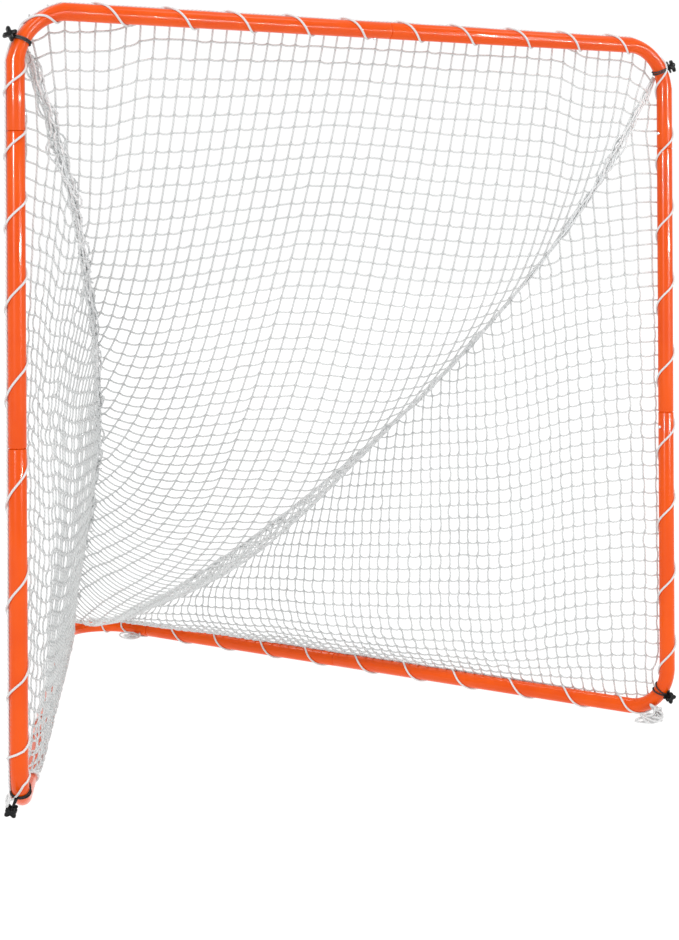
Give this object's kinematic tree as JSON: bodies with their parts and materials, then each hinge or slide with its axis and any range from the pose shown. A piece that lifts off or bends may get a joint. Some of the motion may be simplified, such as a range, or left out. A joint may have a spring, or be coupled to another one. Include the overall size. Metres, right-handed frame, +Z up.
{
  "type": "backyard goal with net",
  "caption": "Knock-down field goal: a closed ring of coated steel tube with snap-button joints, and a laced white net of three sagging panels that meet at the rear bend.",
  "frame": {"origin": "centre of the bounding box's base, on the ground under the middle of the goal", "axes": "+Z up, the open mouth faces -Y, the rear bend points to +Y, +X to the right seen from in front of the mouth"},
  "size_m": [1.9384, 2.0057, 1.8901],
  "materials": {
    "orange_powder_coat": "glossy powder coat on steel tube",
    "zinc_steel": "bright zinc-plated spring steel",
    "lacing_cord": "white braided polyester cord",
    "net_twine": "white knotted polyethylene twine",
    "seam_cord": "gathered white twine along the folds",
    "elastic_cord": "black braided elastic cord",
    "knob_plastic": "moulded black plastic"
  },
  "bodies": {
    "goal": {"crossbar_corner_left": "orange_powder_coat", "crossbar_corner_right": "orange_powder_coat", "post_tube_left": "orange_powder_coat", "post_tube_right": "orange_powder_coat", "base_corner_left": "orange_powder_coat", "base_corner_right": "orange_powder_coat", "base_tube_left": "orange_powder_coat", "base_tube_right": "orange_powder_coat", "rear_bend_tube": "orange_powder_coat", "button_spring_post_upper_left": "zinc_steel", "button_spring_post_lower_left": "zinc_steel", "button_spring_base_front_left": "zinc_steel", "button_spring_base_rear_left": "zinc_steel", "button_spring_post_upper_right": "zinc_steel", "button_spring_post_lower_right": "zinc_steel", "button_spring_base_front_right": "zinc_steel", "button_spring_base_rear_right": "zinc_steel", "button_spring_crossbar": "zinc_steel", "lacing_crossbar": "lacing_cord", "lacing_post_left": "lacing_cord", "lacing_post_right": "lacing_cord", "lacing_base_left": "lacing_cord", "lacing_base_right": "lacing_cord", "net_roof_panel": "net_twine", "net_side_left": "net_twine", "net_side_right": "net_twine", "seam_cord_left": "seam_cord", "seam_cord_right": "seam_cord", "elastic_loop_top_left": "elastic_cord", "elastic_loop_top_right": "elastic_cord", "elastic_loop_bottom_left": "elastic_cord", "elastic_loop_bottom_right": "elastic_cord", "toggle_knob_top_left": "knob_plastic", "toggle_knob_top_right": "knob_plastic", "toggle_knob_bottom_left": "knob_plastic", "toggle_knob_bottom_right": "knob_plastic"},
    "post_upper_left_button": {"snap_button_post_upper_left": "zinc_steel"},
    "post_lower_left_button": {"snap_button_post_lower_left": "zinc_steel"},
    "base_front_left_button": {"snap_button_base_front_left": "zinc_steel"},
    "base_rear_left_button": {"snap_button_base_rear_left": "zinc_steel"},
    "post_upper_right_button": {"snap_button_post_upper_right": "zinc_steel"},
    "post_lower_right_button": {"snap_button_post_lower_right": "zinc_steel"},
    "base_front_right_button": {"snap_button_base_front_right": "zinc_steel"},
    "base_rear_right_button": {"snap_button_base_rear_right": "zinc_steel"},
    "crossbar_button": {"snap_button_crossbar": "zinc_steel"}
  },
  "joints": [
    {"name": "post_upper_left_button", "type": "slide", "parent": "goal", "child": "post_upper_left_button", "axis": [-1, 0, 0], "range_m": [0, 0.005], "stiffness_N_per_m": 900, "springref_m": -0.004, "deforming": ["button_spring_post_upper_left"]},
    {"name": "post_lower_left_button", "type": "slide", "parent": "goal", "child": "post_lower_left_button", "axis": [-1, 0, 0], "range_m": [0, 0.005], "stiffness_N_per_m": 900, "springref_m": -0.004, "deforming": ["button_spring_post_lower_left"]},
    {"name": "base_front_left_button", "type": "slide", "parent": "goal", "child": "base_front_left_button", "axis": [0.9144, -0.4049, 0], "range_m": [0, 0.005], "stiffness_N_per_m": 900, "springref_m": -0.004, "deforming": ["button_spring_base_front_left"]},
    {"name": "base_rear_left_button", "type": "slide", "parent": "goal", "child": "base_rear_left_button", "axis": [0.9144, -0.4049, 0], "range_m": [0, 0.005], "stiffness_N_per_m": 900, "springref_m": -0.004, "deforming": ["button_spring_base_rear_left"]},
    {"name": "post_upper_right_button", "type": "slide", "parent": "goal", "child": "post_upper_right_button", "axis": [1, 0, 0], "range_m": [0, 0.005], "stiffness_N_per_m": 900, "springref_m": -0.004, "deforming": ["button_spring_post_upper_right"]},
    {"name": "post_lower_right_button", "type": "slide", "parent": "goal", "child": "post_lower_right_button", "axis": [1, 0, 0], "range_m": [0, 0.005], "stiffness_N_per_m": 900, "springref_m": -0.004, "deforming": ["button_spring_post_lower_right"]},
    {"name": "base_front_right_button", "type": "slide", "parent": "goal", "child": "base_front_right_button", "axis": [-0.9144, -0.4049, 0], "range_m": [0, 0.005], "stiffness_N_per_m": 900, "springref_m": -0.004, "deforming": ["button_spring_base_front_right"]},
    {"name": "base_rear_right_button", "type": "slide", "parent": "goal", "child": "base_rear_right_button", "axis": [-0.9144, -0.4049, 0], "range_m": [0, 0.005], "stiffness_N_per_m": 900, "springref_m": -0.004, "deforming": ["button_spring_base_rear_right"]},
    {"name": "crossbar_button", "type": "slide", "parent": "goal", "child": "crossbar_button", "axis": [0, 0, 1], "range_m": [0, 0.005], "stiffness_N_per_m": 900, "springref_m": -0.004, "deforming": ["button_spring_crossbar"]}
  ]
}
